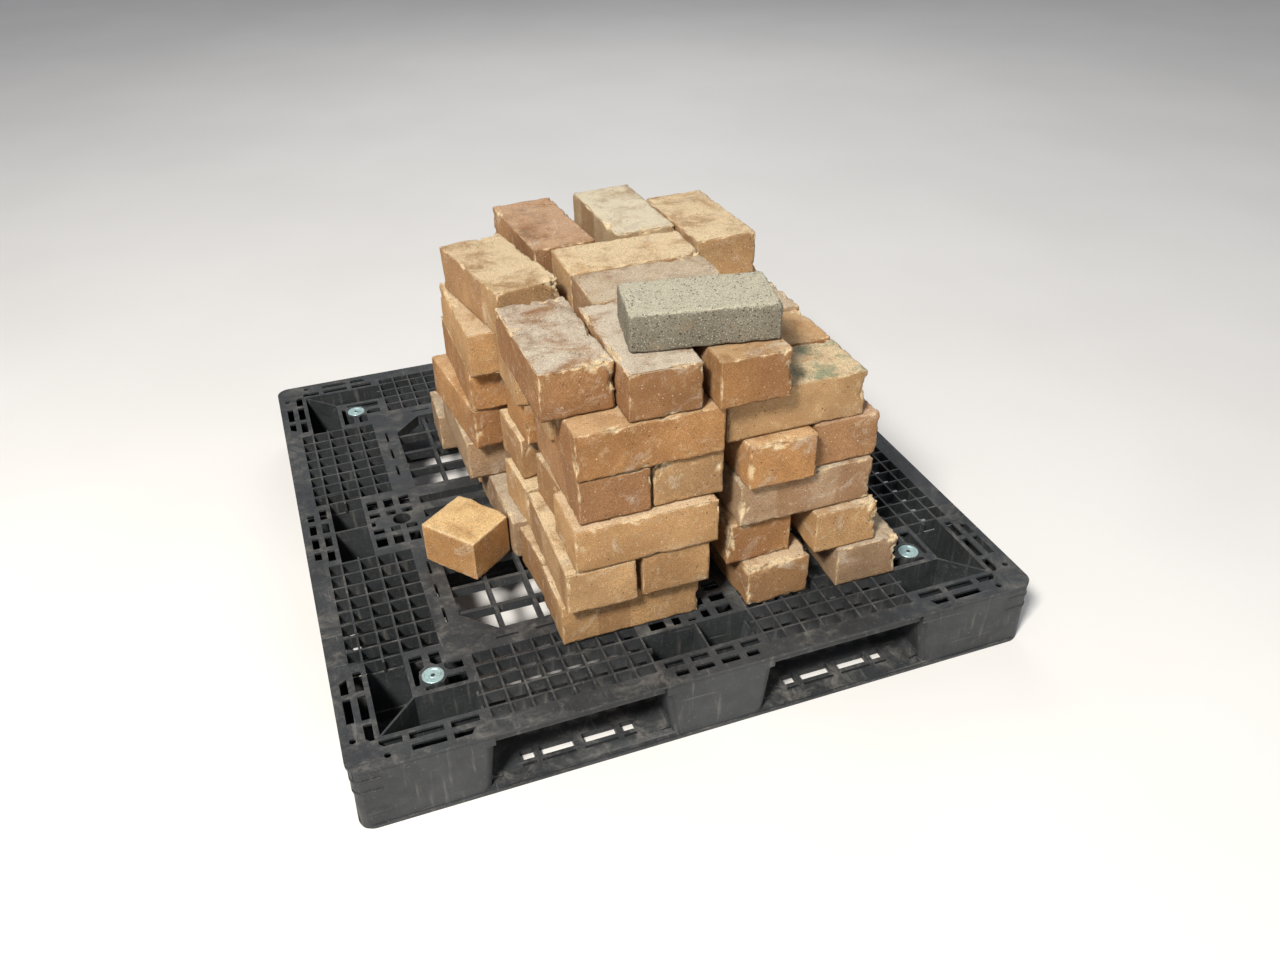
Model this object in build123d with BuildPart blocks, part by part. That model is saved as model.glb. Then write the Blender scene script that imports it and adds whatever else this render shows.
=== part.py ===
from build123d import *
import os
from math import cos, radians, sin, sqrt

# A plastic pallet with a stack of bricks. Millimetres, +Z up, origin on the floor under the pallet's centre.
# +X runs along the near edge of the pallet, and +Y runs away from it.

# Driving dimensions of the pallet
pallet_side = 1140.0
pallet_height = 125.0
corner_radius = 25.0
deck_depth = 22.0
plate_thickness = 4.0
lip_thickness = 5.0
lip_overhang = 8.0
rib = 3.5
skirt = 4.0

# Zones of the deck, measured from the pallet's edge
corner_zone = 215.0
mid_zone = 187.0
rim_width = 33.0
first_row = 54.0
row_pitch = 30.8
full_rows = 4
columns = 8
trench_outer = 56.0
trench_inner = 114.0
window_edge = 219.0
window_chamfer = 52.0
bar = 7.0
bar_drop = 5.0
beam_pocket = 23.0
beam_pocket_pitch = 46.4
plate_slot_wide = (122.0, 142.0)
plate_slot_short = (153.0, 170.0)
plate_slot_ends = (136.0, 200.6)
plate_slot_step = 172.0
plate_slot_slant = 7.0
stub_length = 7.0

# Slots and holes of the deck
slot_outer = (13.4, 25.1)
slot_inner = (35.4, 48.0)
corner_slot = (52.0, 85.7)
corner_slot_cut = 6.0
second_slot = (95.7, 146.0)
last_slot_start = 156.5
last_slot_ends = (182.0, 199.0)
last_slot_slant = 7.0
slot_pitch = 42.5
slot_bridge = 12.0
mid_slot_ends = (70.0, 80.0)
mid_plate_rows = ((121.5, 141.0), (152.5, 170.0), (181.0, 200.5))
mid_plate_columns = ((18.5, 32.5), (45.0, 72.0))
socket_notch = 7.0
rim_hole_radius = 5.0
rim_hole_place = (60.5, 17.5)
band_slot_length = 37.0
band_slot_width = 4.5
band_slot_line = 196.5
disc_place = 151.5
boss_radius = 21.0
ring_radius = 16.0
ring_wall = 4.0

# Fixing discs
disc_radius = 17.5
disc_thickness = 2.5

# Legs and planks
leg_wall = 4.0
leg_inset = 3.5
leg_corner = 15.0
hollow_chamfer = 7.0
leg_top = 212.0
leg_foot = 198.5
leg_top_half = 90.5
leg_foot_half = 77.0
plank_edge = 8.0
plank_thickness = 12.0
plank_taper = 86.5
sole_side = 1138.0
sole_height = 5.0
foot_fillet = 20.0
foot_fillet_steps = 4
seat_clearance = 0.5
post_radius = 12.0
ridge_depth = 1.5
ridge_height = 3.0
ridge_reach = 45.0
ridge_lines = (75.0, 98.5)
plank_rows = ((39.0, 57.0), (27.5, 32.0))
plank_slots = ((7.5, 62.0), (71.0, 93.0))

# Bricks
brick_length = 230.0
brick_width = 113.0
brick_height = 78.0
concrete_length = 222.0
concrete_width = 118.0
concrete_height = 60.0
concrete_round = 6.0
concrete_place = (41.5, -349.5)
concrete_turn = -10.5
half_place = (-299.4, -149.7)
half_turn = 38.4
half_outline = ((-51, -57), (43, -57), (51, -34), (49, 2), (54, 29), (50, 57), (-51, 57))

half = pallet_side / 2
deck_top = pallet_height
deck_bottom = deck_top - deck_depth
cell_pitch = (half - mid_zone / 2 - corner_zone) / columns
group_centre = half - (corner_zone + half - mid_zone / 2) / 2
mid_half = mid_zone / 2 - rib / 2
inner_side = pallet_side - 2 * lip_overhang
ring_line = (mid_plate_rows[1][0] + mid_plate_rows[2][1]) / 2


def quarter_turns():
    """The four quarter turns about the pallet's centre."""
    return [Location((0, 0, 0), (0, 0, 90 * turn)) for turn in range(4)]


def corner_point(s, v):
    """A point of the near-left corner zone, s along the near edge and v in from it."""
    return (s - half, v - half)


def corner_polygon(points):
    """A polygon of the corner zone and its mirror image across the corner's diagonal."""
    straight = Polygon(*[corner_point(s, v) for s, v in points], align=None, mode=Mode.PRIVATE)
    crossed = Polygon(*[corner_point(v, s) for s, v in points], align=None, mode=Mode.PRIVATE)
    return [straight, crossed]


def corner_box(s0, s1, v0, v1):
    """A rectangle of the corner zone and its mirror image across the corner's diagonal."""
    return corner_polygon([(s0, v0), (s1, v0), (s1, v1), (s0, v1)])


def side_box(s0, s1, v0, v1):
    """A rectangle beside the near edge, s from the middle of the edge and v in from it."""
    with Locations(((s0 + s1) / 2, (v0 + v1) / 2 - half)):
        return [Rectangle(abs(s1 - s0), v1 - v0, mode=Mode.PRIVATE)]


def side_pair(s0, s1, v0, v1):
    """Two such rectangles, mirrored about the middle of the edge."""
    return side_box(s0, s1, v0, v1) + side_box(-s1, -s0, v0, v1)


def cells():
    """The cell grid of one side of the deck, in two groups of equal columns."""
    column_width = cell_pitch - rib
    narrow = first_row - rib / 2 - rim_width
    shapes = []
    for side in (-1, 1):
        with Locations((side * group_centre, rim_width + narrow / 2 - half)):
            with GridLocations(cell_pitch, 1, columns, 1):
                shapes.append(Rectangle(column_width, narrow, mode=Mode.PRIVATE))
        with Locations((side * group_centre, first_row + full_rows * row_pitch / 2 - half)):
            with GridLocations(cell_pitch, row_pitch, columns, full_rows):
                shapes.append(Rectangle(column_width, row_pitch - rib, mode=Mode.PRIVATE))
    return shapes


def corner_openings():
    """Trench, rim slots and plate slots of one corner of the deck."""
    end = corner_zone - rib / 2
    web = rib / sqrt(2)
    shapes = corner_polygon([
        (trench_outer + web, trench_outer),
        (end, trench_outer),
        (end, trench_inner),
        (trench_inner + web, trench_inner),
    ])
    outer, inner = slot_outer, slot_inner
    shapes += corner_box(*second_slot, *outer)
    last = last_slot_ends[0]
    shapes += corner_polygon([
        (last_slot_start, outer[0]), (last, outer[0]),
        (last + last_slot_slant, outer[1]), (last_slot_start, outer[1]),
    ])
    near, far = corner_slot
    shapes += corner_polygon([
        (near + corner_slot_cut, inner[0]), (far, inner[0]), (far, inner[1]),
        (near, inner[1]), (near, inner[0] + corner_slot_cut),
    ])
    shapes += corner_box(*second_slot, *inner)
    shapes += corner_box(last_slot_start, last_slot_ends[1], *inner)
    start, end = plate_slot_ends
    low, high = plate_slot_wide
    shapes += corner_polygon([
        (start, low), (end, low), (end, high), (plate_slot_step, high),
        (plate_slot_step - plate_slot_slant, low + 1.5 * plate_slot_slant), (start, low + plate_slot_slant),
    ])
    low, high = plate_slot_short
    shapes += corner_polygon([
        (plate_slot_step, low + plate_slot_slant), (plate_slot_step + plate_slot_slant, low),
        (end, low), (end, high), (plate_slot_step, high),
    ])
    with Locations(corner_point(*rim_hole_place), corner_point(rim_hole_place[1], rim_hole_place[0])):
        shapes.append(Circle(rim_hole_radius, mode=Mode.PRIVATE))
    return shapes


def mid_openings():
    """Trench pair, rim slots and plate openings of the middle of one side of the deck."""
    shapes = side_pair(rib / 2, mid_half, trench_outer, trench_inner)
    near = slot_bridge / 2
    far = slot_pitch + near
    for row, end in zip((slot_outer, slot_inner), mid_slot_ends):
        shapes += side_pair(near, slot_pitch - near, *row)
        shapes += side_pair(far, end, *row)
    for row in mid_plate_rows:
        for column in mid_plate_columns:
            shapes += side_pair(*column, *row)
    with Locations((0, ring_line - half)):
        shapes.append(Circle(ring_radius, mode=Mode.PRIVATE))
    notch = mid_plate_rows[0][0]
    return shapes + side_box(-socket_notch, socket_notch, notch, notch + socket_notch)


def band_slots():
    """Thin slots in the flat band between the cells and the windows of one side."""
    shapes = []
    for side in (-1, 1):
        with Locations((side * group_centre, band_slot_line - half)):
            with GridLocations(2 * cell_pitch, 1, 3, 1):
                shapes.append(Rectangle(band_slot_length, band_slot_width, mode=Mode.PRIVATE))
    return shapes


def window_opening():
    """One window of the deck, with a chamfer at the pallet's corner."""
    far = half - mid_half
    points = [
        (window_edge + window_chamfer, window_edge), (far, window_edge), (far, far),
        (window_edge, far), (window_edge, window_edge + window_chamfer),
    ]
    corner = [corner_point(s, v) for s, v in points]
    return [Polygon(*corner, align=None, mode=Mode.PRIVATE)]


def beam_pockets():
    """Long pockets of one arm of the deck's cross beams."""
    shapes = []
    for line in (-beam_pocket_pitch, 0.0, beam_pocket_pitch):
        low, high = line - beam_pocket / 2, line + beam_pocket / 2
        shapes += side_box(low, high, window_edge, half - mid_half)
    return shapes


def centre_openings():
    """Openings of the square plate at the pallet's centre."""
    with GridLocations(beam_pocket_pitch, beam_pocket_pitch, 3, 3):
        return [Rectangle(beam_pocket, beam_pocket, mode=Mode.PRIVATE)]


def trench_stubs():
    """Short ends of the row rib that stand into the trenches of one side."""
    line = first_row + row_pitch
    corner_end = corner_zone - rib / 2
    shapes = corner_box(corner_end - stub_length, corner_end, line - rib / 2, line + rib / 2)
    return shapes + side_pair(mid_half - stub_length, mid_half, line - rib / 2, line + rib / 2)


def plate_hollows():
    """Hollows under the flat plates of one side and one corner of the deck, between its ribs."""
    outer = lip_overhang + skirt
    span = columns * cell_pitch / 2 - rib / 2
    shapes = []
    for side in (-1, 1):
        middle = side * group_centre
        shapes += side_box(middle - span, middle + span, outer, rim_width - rib)
    shapes += side_box(-mid_half, mid_half, outer, trench_outer - rib)
    shapes += side_box(-mid_half, mid_half, trench_inner + rib, window_edge - rib)
    end = corner_zone - rib / 2
    shapes += corner_box(outer, end, outer, trench_outer - rib)
    low, high = trench_inner + rib, window_edge - rib
    shapes += corner_box(low, high, low, high)[:1]
    return shapes


def window_bars():
    """The bars across one window, on every second line of the cell ribs."""
    far = half - mid_half + rib / 2
    near = window_edge - rib / 2
    shapes = []
    for step in (2, 4, 6):
        line = corner_zone + cell_pitch * step
        start = max(near, 2 * window_edge + window_chamfer - line - bar)
        shapes += corner_box(line - bar / 2, line + bar / 2, start, far)
    return shapes


# Deck of the pallet
with BuildPart() as pallet_deck:
    with BuildSketch(Plane.XY.offset(deck_bottom)):
        RectangleRounded(inner_side, inner_side, corner_radius - lip_overhang)
        openings = centre_openings()
        with Locations(*quarter_turns()):
            for group in (cells, corner_openings, mid_openings, band_slots, window_opening, beam_pockets):
                openings += group()
            stubs = trench_stubs()
        add(openings, mode=Mode.SUBTRACT)
        add(stubs)
        with Locations(*quarter_turns()):
            with Locations(corner_point(disc_place, disc_place)):
                Circle(boss_radius)
    extrude(amount=deck_depth)
    with BuildSketch(Plane.XY.offset(deck_bottom)):
        with Locations(*quarter_turns()):
            add(plate_hollows())
            with Locations(corner_point(disc_place, disc_place)):
                Rectangle(2 * boss_radius, 2 * boss_radius, mode=Mode.SUBTRACT)
            with Locations((0, ring_line - half)):
                Rectangle(2 * (ring_radius + ring_wall), 2 * (ring_radius + ring_wall), mode=Mode.SUBTRACT)
    extrude(amount=deck_depth - plate_thickness, mode=Mode.SUBTRACT)
    with BuildSketch(Plane.XY.offset(deck_top)):
        with Locations(*quarter_turns()):
            with Locations(corner_point(disc_place, disc_place)):
                Circle(disc_radius + seat_clearance)
    extrude(amount=-disc_thickness, mode=Mode.SUBTRACT)
    with BuildSketch(Plane.XY.offset(deck_bottom)):
        with Locations(*quarter_turns()):
            add(window_bars())
    extrude(amount=deck_depth - bar_drop)
    with BuildSketch(Plane.XY.offset(deck_top - lip_thickness)):
        RectangleRounded(pallet_side, pallet_side, corner_radius)
        RectangleRounded(inner_side, inner_side, corner_radius - lip_overhang, mode=Mode.SUBTRACT)
    extrude(amount=lip_thickness)
pallet_deck.part.label = "pallet_deck"

# Base of the pallet
leg_face = half - leg_inset
span_middle = (leg_foot + half - leg_foot_half) / 2
base_window = half - leg_foot_half - leg_foot
skirt_face = inner_side / 2
lean = (leg_top - leg_foot) / deck_bottom


def tunnel_sections(grow):
    """Sections of the two fork tunnels along one direction, with each leg side moved into its leg."""
    inner, outer = leg_foot_half - grow, half - leg_foot + grow
    draft = lean * deck_bottom
    for side in (-1, 1):
        points = [(inner, 0), (outer, 0), (outer - draft, deck_bottom), (inner + draft, deck_bottom)]
        Polygon(*[(side * x, z) for x, z in points], align=None)


def foot_fillet_profile(at, side):
    """Concave fillet between a plank and the leg side that stands at the place given."""
    with BuildSketch(Plane.XZ) as profile:
        inside, top = at - side * leg_wall, plank_thickness + foot_fillet
        points = [(inside, top), (inside, plank_thickness)]
        for step in range(foot_fillet_steps + 1):
            turn = radians(90 * step / foot_fillet_steps)
            points.append((at + side * foot_fillet * (1 - sin(turn)), top - foot_fillet * cos(turn)))
        Polygon(*points, align=None)
    return profile.sketch


def leg_blocks(wall, floor, edge_radius):
    """All nine legs, drawn in by the wall, from the floor given up to the deck's underside."""
    side = 2 * (leg_face - wall)
    with BuildPart() as blocks:
        with BuildSketch(Plane.XY.offset(floor)):
            Rectangle(side, side)
        extrude(amount=deck_bottom - floor)
        with BuildSketch(Plane.XZ):
            tunnel_sections(wall)
        extrude(amount=half, both=True, mode=Mode.SUBTRACT)
        with BuildSketch(Plane.YZ):
            tunnel_sections(wall)
        extrude(amount=half, both=True, mode=Mode.SUBTRACT)
        upright = [edge for edge in blocks.edges() if abs(edge.tangent_at(0.5).Z) > 0.5]
        if wall:
            chamfer(upright, edge_radius)
        else:
            fillet(upright, edge_radius)
    return blocks.part


def leg_walls():
    """Walls inside the legs of one side and one corner: trench walls, ribs and the post for the fixing disc."""
    shapes = []
    for line in (trench_outer - rib, trench_inner):
        shapes += corner_box(line, leg_top, line, line + rib)
        shapes += side_box(-leg_top_half, leg_top_half, line, line + rib)
    shapes += side_box(-rib / 2, rib / 2, trench_outer, trench_inner)
    with Locations(Location(corner_point(0, 0), 45)):
        shapes.append(Rectangle(2 * (sqrt(2) * trench_inner + rib), rib, mode=Mode.PRIVATE))
    with Locations(corner_point(disc_place, disc_place)):
        shapes.append(Circle(post_radius, mode=Mode.PRIVATE))
    return shapes


# Hollows of the legs, parted by the walls inside them
with BuildPart() as leg_hollows:
    add(leg_blocks(leg_wall, plank_thickness, hollow_chamfer))
    with BuildSketch(Plane.XY.offset(plank_thickness)):
        walls = []
        with Locations(*quarter_turns()):
            walls += leg_walls()
        with Locations((-beam_pocket_pitch / 2, 0), (beam_pocket_pitch / 2, 0)):
            walls.append(Rectangle(rib, 2 * leg_top_half, mode=Mode.PRIVATE))
        add(walls)
    extrude(amount=pallet_height, mode=Mode.SUBTRACT)

# Planks with their openings, the legs, the walls that close round the deck's skirt, and the fillets at the feet
with BuildPart() as pallet_base:
    with BuildSketch():
        RectangleRounded(sole_side, sole_side, corner_radius)
    extrude(amount=sole_height)
    with BuildSketch(Plane.XY.offset(sole_height)):
        RectangleRounded(2 * leg_face, 2 * leg_face, leg_corner)
    extrude(amount=plank_edge - sole_height)
    with BuildSketch(Plane.XY.offset(plank_edge)):
        Rectangle(2 * (leg_face - leg_corner / 3), 2 * (leg_face - leg_corner / 3))
    extrude(amount=plank_thickness - plank_edge, taper=plank_taper)
    add(leg_blocks(0, 0, leg_corner))
    add(leg_hollows.part, mode=Mode.SUBTRACT)
    with BuildSketch(Plane.XY.offset(deck_bottom - leg_wall)):
        RectangleRounded(2 * leg_face, 2 * leg_face, leg_corner)
        gaps = []
        with Locations(*quarter_turns()):
            gaps += side_pair(leg_top_half, half - leg_top, 0, half)
        add(gaps, mode=Mode.SUBTRACT)
        Rectangle(2 * (skirt_face + seat_clearance), 2 * (skirt_face + seat_clearance), mode=Mode.SUBTRACT)
    extrude(amount=deck_top - lip_thickness - deck_bottom + leg_wall)
    with BuildSketch(*[Plane.XY.offset(line) for line in ridge_lines]):
        RectangleRounded(2 * (leg_face + ridge_depth), 2 * (leg_face + ridge_depth), leg_corner + ridge_depth)
        RectangleRounded(2 * leg_face, 2 * leg_face, leg_corner, mode=Mode.SUBTRACT)
        Rectangle(2 * (half - ridge_reach), 2 * half, mode=Mode.SUBTRACT)
        Rectangle(2 * half, 2 * (half - ridge_reach), mode=Mode.SUBTRACT)
    extrude(amount=ridge_height)
    with BuildSketch():
        with GridLocations(2 * (half - span_middle), 2 * (half - span_middle), 2, 2):
            Rectangle(base_window, base_window)
        slots = []
        with Locations(*quarter_turns()):
            for side in (-1, 1):
                middle = side * (half - span_middle)
                for low, high in plank_rows:
                    for start, end in plank_slots:
                        slots += side_box(middle + start, middle + end, low, high)
                        slots += side_box(middle - end, middle - start, low, high)
        add(slots)
    extrude(amount=plank_thickness, mode=Mode.SUBTRACT)
    fillets = []
    for at, side in ((leg_foot - half, 1), (-leg_foot_half, -1)):
        for start, end in ((leg_inset + leg_corner - half, leg_foot - leg_corner - half),
                           (leg_corner - leg_foot_half, leg_foot_half - leg_corner)):
            prism = extrude(foot_fillet_profile(at, side), amount=end - start, mode=Mode.PRIVATE)
            fillets.append(Pos(0, end, 0) * prism)
    near = fillets + [fillet_prism.mirror(Plane.YZ) for fillet_prism in fillets]
    add([Rot(0, 0, 90 * turn) * prism for turn in range(4) for prism in near])
pallet_base.part.label = "pallet_base"

# Fixing discs that hold the deck down on the corner legs
with BuildPart() as fixing_discs:
    with BuildSketch(Plane.XY.offset(deck_top)):
        with Locations(*quarter_turns()):
            with Locations(corner_point(disc_place, disc_place)):
                Circle(disc_radius)
    extrude(amount=-disc_thickness)
fixing_discs.part.label = "fixing_discs"

# Bricks of each course: the middle of the brick along X and Y, and its turn about Z in degrees
course_1 = (
    (-98, -374, 0), (-100, -248, 5), (-174, -75, 91.5), (-52, -64, 90), (-120, 112, 0), (-160, 248, -2),
    (146, -335, 92), (311, -344, 89), (160, -145, 0), (160, -25, 0), (160, 95, 0), (160, 215, 0),
)
course_2 = (
    (-149, -337, 89), (-29, -334, 90), (-94, -152, 5), (-209, 75, 90), (-90, 75, 90), (-110, 253, 0),
    (122, -312, 90), (266, -337, 90), (130, -76, 90), (250, -76, 90), (130, 160, 90), (250, 160, 90),
)
course_3 = (
    (-76, -397, 0), (-68, -273, 4), (-89, -121, 4), (-209, 53, 97), (-76, 59, 90), (-95, 240, 0),
    (196, -381, 0), (196, -264, 0), (190, -146, 0), (190, -28, 0), (190, 90, 0), (190, 208, 0),
)
course_4 = (
    (-122, -327, 90), (-5, -322, 90), (-80, -144, 3), (-195, 45, 90), (-75, 45, 90), (-95, 222, 0),
    (143, -337, 90), (262, -315, 90), (140, -80, 90), (260, -80, 90), (140, 160, 90), (260, 160, 90),
)
course_5 = (
    (-66, -388, 0), (-70, -270, 0), (-90, -153, 0), (-195, 22, 90), (-75, 22, 90), (-80, 198, 0),
    (174, -370, 0), (174, -252, 0), (180, -134, 0), (180, -16, 0), (180, 102, 0), (180, 220, 0),
)
course_6 = (
    (-159, -279, 91), (-42, -326, 90), (90, -340, 90), (-170, 0, 101), (-54, 140, 94), (101, 151, 92),
    (41, -38, 0), (41, -153, 0), (219, 70, 92.5),
)
stack = (course_1, course_2, course_3, course_4, course_5, course_6)
courses = len(stack)


def brick_course(places, course):
    """Bricks of one course, lying flat."""
    with BuildPart() as bricks:
        with Locations(*[Location((x, y, deck_top + (course - 1) * brick_height), (0, 0, turn))
                         for x, y, turn in places]):
            Box(brick_length, brick_width, brick_height, align=(Align.CENTER, Align.CENTER, Align.MIN))
    bricks.part.label = f"course_{course}"
    return bricks.part


# Brick of concrete on the top course, with rounded edges
with BuildPart() as concrete_brick:
    with Locations(Location((*concrete_place, deck_top + courses * brick_height), (0, 0, concrete_turn))):
        Box(concrete_length, concrete_width, concrete_height, align=(Align.CENTER, Align.CENTER, Align.MIN))
    fillet(concrete_brick.edges().filter_by(Axis.Z), concrete_round)
    fillet(concrete_brick.faces().sort_by(Axis.Z)[-1].edges(), concrete_round)
concrete_brick.part.label = "concrete_brick"

# Broken half brick on the deck; the broken end is uneven
half_axis = (cos(radians(half_turn)), sin(radians(half_turn)), 0)
with BuildPart() as half_brick:
    with BuildSketch(Plane((*half_place, deck_top), x_dir=half_axis)):
        with BuildLine():
            Polyline(*half_outline, close=True)
        make_face()
    extrude(amount=brick_height)
half_brick.part.label = "half_brick"

os.makedirs("parts", exist_ok=True)
for piece in (pallet_deck, pallet_base, fixing_discs, concrete_brick, half_brick):
    export_step(piece.part, f"parts/{piece.part.label}.step")
for number, places in enumerate(stack, start=1):
    export_step(brick_course(places, number), f"parts/course_{number}.step")
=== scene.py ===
"""A plastic pallet that carries a loose stack of used clay bricks, dressed for rendering.

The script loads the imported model, gives each of its pieces its final surface and detail, and lights it
in a plain studio, seen from the photograph's viewing angle. Lengths are metres throughout.
"""

import logging
import math
import random
from dataclasses import dataclass, field
from enum import Enum

import bmesh
import bpy
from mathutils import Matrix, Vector, noise


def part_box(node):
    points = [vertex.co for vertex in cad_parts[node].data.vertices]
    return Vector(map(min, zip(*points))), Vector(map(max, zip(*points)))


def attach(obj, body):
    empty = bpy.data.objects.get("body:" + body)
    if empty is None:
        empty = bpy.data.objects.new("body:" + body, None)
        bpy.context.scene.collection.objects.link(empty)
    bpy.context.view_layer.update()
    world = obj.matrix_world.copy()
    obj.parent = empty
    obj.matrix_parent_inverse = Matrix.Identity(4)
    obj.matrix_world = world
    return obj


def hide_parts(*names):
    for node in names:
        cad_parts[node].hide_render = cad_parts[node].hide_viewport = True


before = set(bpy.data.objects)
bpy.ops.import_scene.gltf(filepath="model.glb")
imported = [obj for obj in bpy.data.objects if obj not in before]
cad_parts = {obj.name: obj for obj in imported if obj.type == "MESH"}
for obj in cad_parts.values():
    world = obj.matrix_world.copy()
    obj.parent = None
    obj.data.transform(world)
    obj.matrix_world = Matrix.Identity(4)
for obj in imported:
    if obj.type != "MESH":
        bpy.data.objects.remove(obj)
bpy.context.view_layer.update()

log = logging.getLogger("pallet_of_bricks")

BODY = "root"
BRICK_SIZE = Vector((0.230, 0.113, 0.078))
COURSES = range(1, 7)
VALUE_FIELDS = {"FLOAT": "value", "FLOAT_VECTOR": "vector", "FLOAT_COLOR": "color"}
ATTRIBUTE_KINDS = {
    "turn": "FLOAT",
    "edge_wear": "FLOAT",
    "moss": "FLOAT",
    "stain": "FLOAT",
    "brick_seed": "FLOAT_VECTOR",
    "local_place": "FLOAT_VECTOR",
    "body_colour": "FLOAT_COLOR",
    "top_colour_with_painted_highlight": "FLOAT_COLOR",
}

Colour = tuple[float, float, float]
Socket = bpy.types.NodeSocket


def rgba(colour: Colour) -> tuple[float, float, float, float]:
    """Adds a full alpha to a colour."""
    return (*colour, 1.0)


class ClayTone(Enum):
    """Fired colours of the clay bricks: the body's colour and that of its upper side, which is paler partly
    from bleaching and partly as a painted sunlit highlight.
    """

    # Each top colour is paler than the body partly from weathering and partly as a painted sunlit highlight.
    TAN = ((0.50, 0.315, 0.155), (0.74, 0.57, 0.38))
    CREAM = ((0.54, 0.355, 0.185), (0.85, 0.68, 0.44))
    ORANGE = ((0.46, 0.255, 0.110), (0.70, 0.47, 0.26))
    RUDDY = ((0.39, 0.225, 0.115), (0.64, 0.42, 0.27))
    ASH = ((0.43, 0.305, 0.195), (0.62, 0.52, 0.39))
    SMOKED = ((0.35, 0.195, 0.092), (0.68, 0.61, 0.50))
    BLEACHED = ((0.52, 0.39, 0.24), (0.84, 0.76, 0.58))
    GOLDEN = ((0.60, 0.350, 0.150), (0.88, 0.64, 0.33))

    @property
    def body(self) -> Colour:
        """Colour of the brick's sides."""
        return self.value[0]

    @property
    def top(self) -> Colour:
        """Colour of the brick's upper side: partly weathered, partly a painted sunlit highlight."""
        return self.value[1]


class NodeSheet:
    """Adds and joins the nodes of one tree.

    Attributes:
        tree: The node tree.
    """

    def __init__(self, tree: bpy.types.NodeTree) -> None:
        """Takes a tree to fill."""
        self.tree = tree

    def add(self, kind: str, **settings: object) -> bpy.types.Node:
        """Adds a node.

        Args:
            kind: The node's type.
            **settings: Properties to set on the node.

        Returns:
            The new node.
        """
        node = self.tree.nodes.new(kind)
        for key, value in settings.items():
            setattr(node, key, value)
        return node

    def join(self, source: Socket, target: Socket) -> None:
        """Links an output to an input."""
        self.tree.links.new(source, target)

    def feed(self, value: object, target: Socket) -> None:
        """Links a socket to an input, or sets a constant on it.

        Args:
            value: The socket or the constant.
            target: The input that takes it.
        """
        if isinstance(value, Socket):
            self.join(value, target)
        else:
            target.default_value = value

    def math(self, operation: str, *values: object) -> Socket:
        """One arithmetic step.

        Args:
            operation: The operation's name.
            *values: Sockets or numbers, in the node's order.

        Returns:
            The result's socket.
        """
        node = self.add("ShaderNodeMath", operation=operation)
        for value, target in zip(values, node.inputs):
            self.feed(value, target)
        return node.outputs["Value"]

    def times(self, product: object, *factors: object) -> Socket:
        """Multiplies sockets or numbers.

        Args:
            product: The first of them.
            *factors: The others.

        Returns:
            The product's socket.
        """
        for factor in factors:
            product = self.math("MULTIPLY", product, factor)
        return product

    def vector(self, operation: str, *values: object) -> Socket:
        """One vector step.

        Args:
            operation: The operation's name.
            *values: Sockets, vectors or numbers, in the node's order.

        Returns:
            The result's socket.
        """
        node = self.add("ShaderNodeVectorMath", operation=operation)
        targets = [node.inputs[0], node.inputs["Scale"]] if operation == "SCALE" else node.inputs
        for value, target in zip(values, targets):
            self.feed(value, target)
        return node.outputs["Value" if operation == "LENGTH" else "Vector"]

    def noise(
        self, place: Socket, scale: float, detail: float = 4.0, rough: float = 0.55, warp: float = 0.0
    ) -> Socket:
        """A noise texture.

        Args:
            place: The position it reads.
            scale: Its features per metre.
            detail: Its number of octaves.
            rough: Its roughness.
            warp: Its distortion.

        Returns:
            The noise value, about 0.5 on average.
        """
        texture = self.add("ShaderNodeTexNoise")
        self.join(place, texture.inputs["Vector"])
        for name, value in (("Scale", scale), ("Detail", detail), ("Roughness", rough), ("Distortion", warp)):
            texture.inputs[name].default_value = value
        return texture.outputs["Fac"]

    def ramp(
        self, source: Socket, low: float, high: float, start: float = 0.0, end: float = 1.0
    ) -> Socket:
        """A smooth step from one value to another.

        Args:
            source: The value it reads.
            low: Where the step begins.
            high: Where the step ends.
            start: The value below the step.
            end: The value above the step.

        Returns:
            The stepped value's socket.
        """
        step = self.add("ShaderNodeMapRange", interpolation_type="SMOOTHSTEP")
        for name, value in (("From Min", low), ("From Max", high), ("To Min", start), ("To Max", end)):
            step.inputs[name].default_value = value
        self.join(source, step.inputs["Value"])
        return step.outputs["Result"]


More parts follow.
